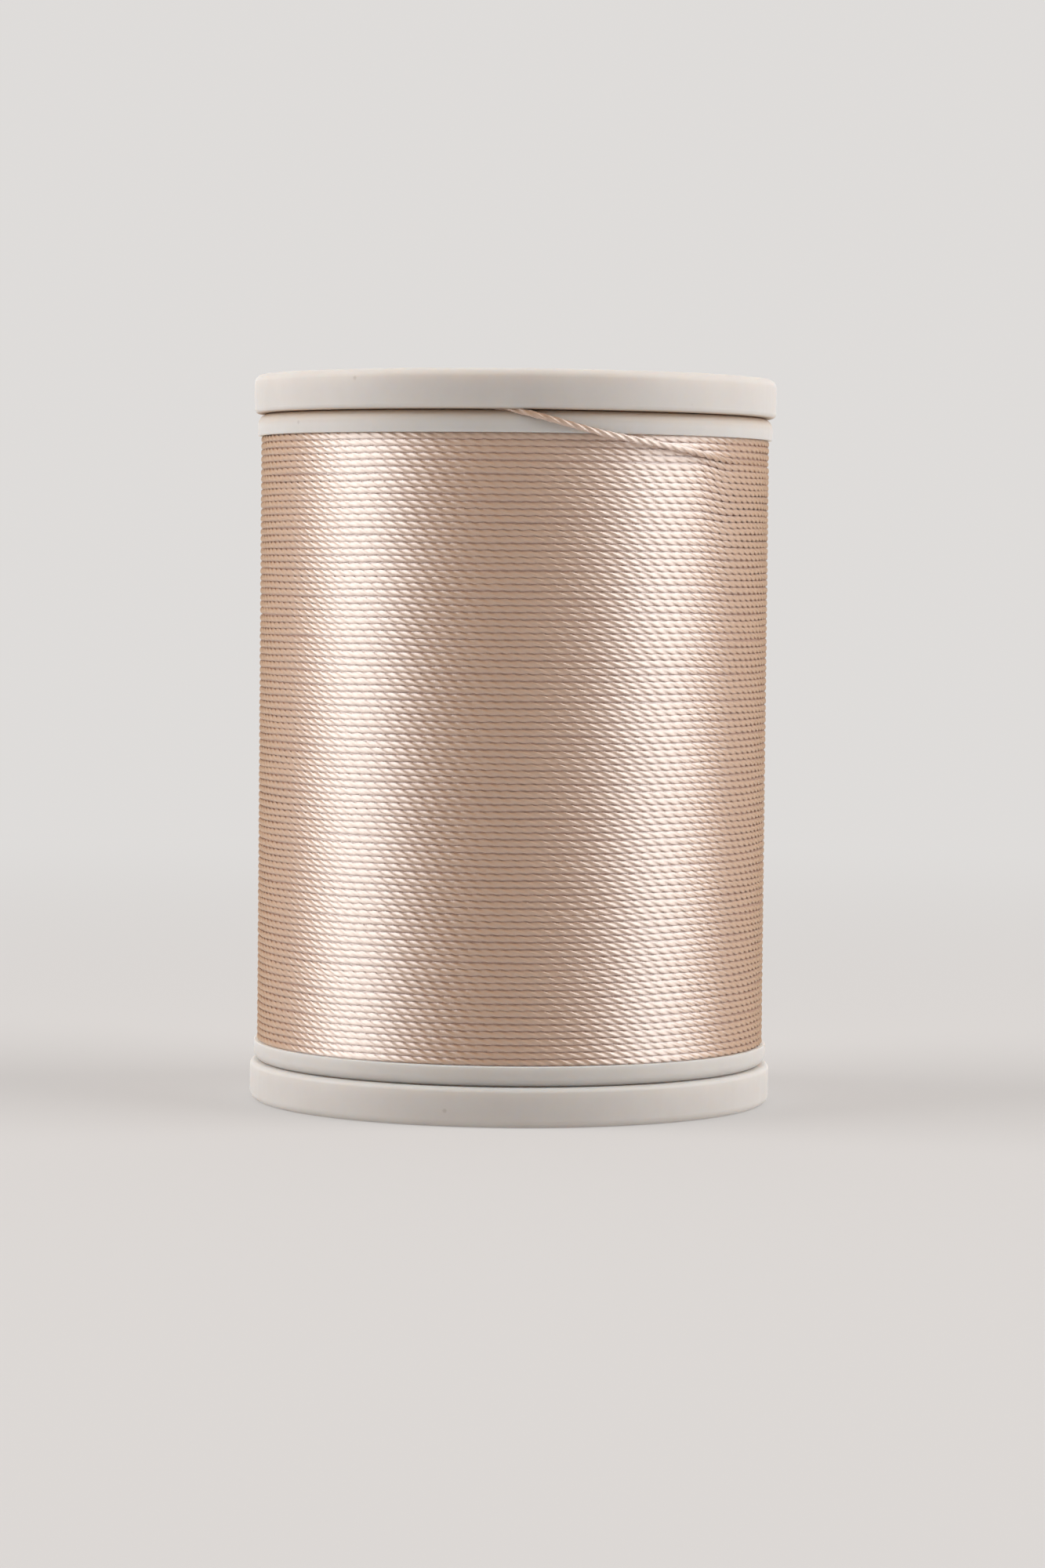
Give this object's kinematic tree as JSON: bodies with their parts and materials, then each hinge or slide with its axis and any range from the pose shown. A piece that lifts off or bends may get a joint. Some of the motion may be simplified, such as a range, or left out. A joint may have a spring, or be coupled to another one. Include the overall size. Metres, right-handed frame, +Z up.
{
  "type": "spool of thread",
  "caption": "Snap spool of three-ply sewing thread: flanged barrel, wound thread with its tail nipped, and two dished caps that slide on split stems.",
  "frame": {"origin": "centre of the bottom cap's end face, on which the spool stands", "axes": "+Z up along the spool's axis; -Y towards the side where the thread's tail goes under the top cap; +X towards the side where the tail leaves the winding"},
  "size_m": [0.0288, 0.0288, 0.0399],
  "materials": {
    "white_plastic": "satin",
    "thread": "lustrous"
  },
  "bodies": {
    "spool": {"spool_body": "white_plastic", "thread_core": "thread", "thread_winding": "thread", "thread_tail": "thread"},
    "top_cap": {"top_cap": "white_plastic"},
    "bottom_cap": {"bottom_cap": "white_plastic"}
  },
  "joints": [
    {"name": "top_cap_slide", "type": "slide", "parent": "spool", "child": "top_cap", "axis": [0, 0, 1], "range_m": [0, 0.0014]},
    {"name": "bottom_cap_slide", "type": "slide", "parent": "spool", "child": "bottom_cap", "axis": [0, 0, -1], "range_m": [0, 0.0015]}
  ]
}
